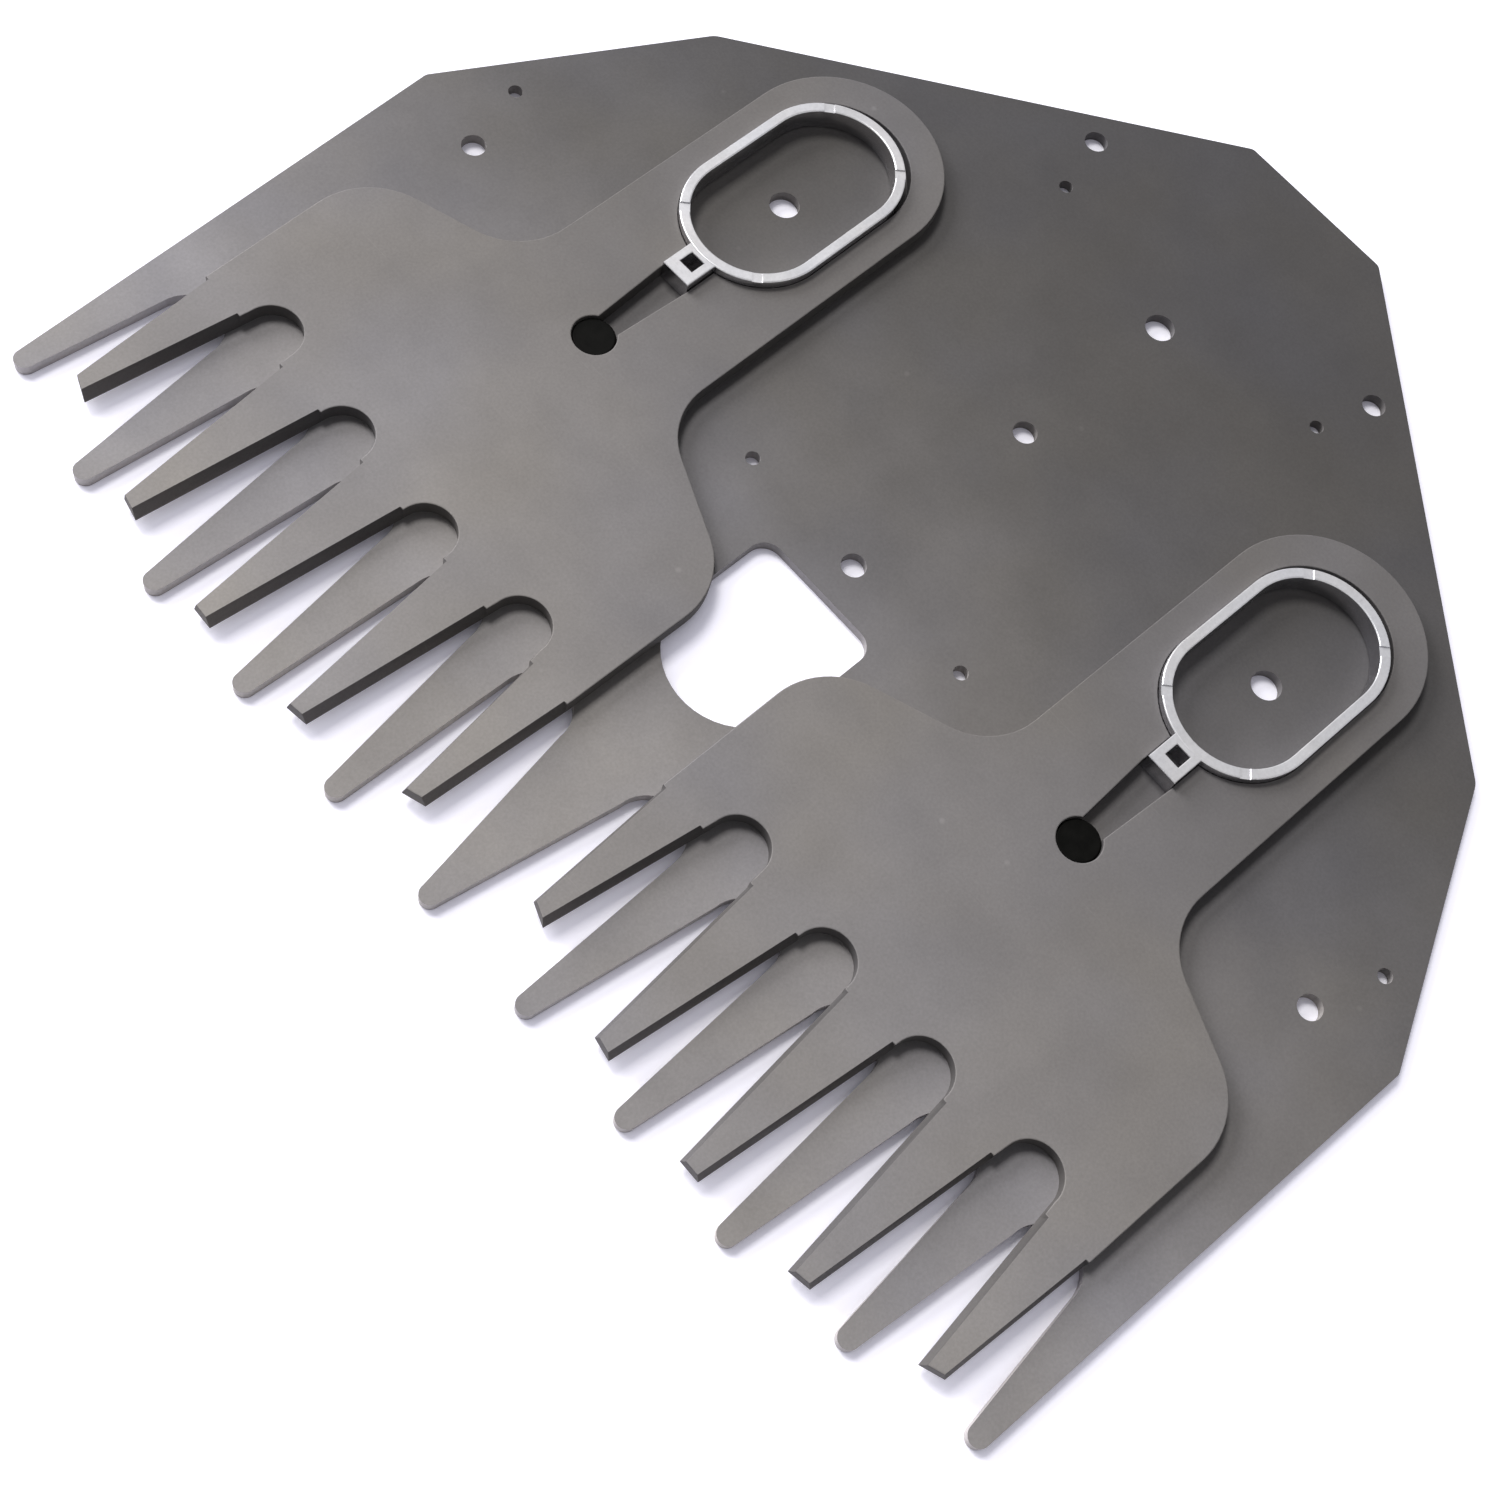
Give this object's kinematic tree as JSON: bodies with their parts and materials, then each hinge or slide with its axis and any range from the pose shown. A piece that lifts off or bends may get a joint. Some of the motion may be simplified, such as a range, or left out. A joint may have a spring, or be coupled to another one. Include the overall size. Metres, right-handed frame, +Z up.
{
  "type": "grass shear blade set",
  "caption": "Wide grass shear blade set: a flat comb plate carries toothed upper blades that swing on pins, each with an eye lined by a race ring for the drive.",
  "frame": {"origin": "centre of the footprint, on the underside of the comb plate", "axes": "+X along the tooth row, +Y from the tooth tips to the rear edge, +Z up, out of the face that carries the blades"},
  "size_m": [0.1714, 0.1559, 0.0047],
  "materials": {
    "plate_steel": "dull rolled steel, slightly mottled",
    "blade_steel": "fine ground steel, satin",
    "ring_steel": "bright plated steel",
    "black_steel": "black oxide"
  },
  "bodies": {
    "base": {"lower_plate": "plate_steel", "left_pivot_pin": "black_steel", "right_pivot_pin": "black_steel"},
    "left_swing": {"left_blade": "blade_steel", "left_race_ring": "ring_steel"},
    "right_swing": {"right_blade": "blade_steel", "right_race_ring": "ring_steel"}
  },
  "joints": [
    {"name": "left_blade_pivot", "type": "hinge", "parent": "base", "child": "left_swing", "pos_m": [-0.0422, -0.01645, 0.0015], "axis": [0, 0, 1], "range_deg": [-8, 8]},
    {"name": "right_blade_pivot", "type": "hinge", "parent": "base", "child": "right_swing", "pos_m": [0.0422, -0.01645, 0.0015], "axis": [0, 0, 1], "range_deg": [-8, 8]}
  ]
}
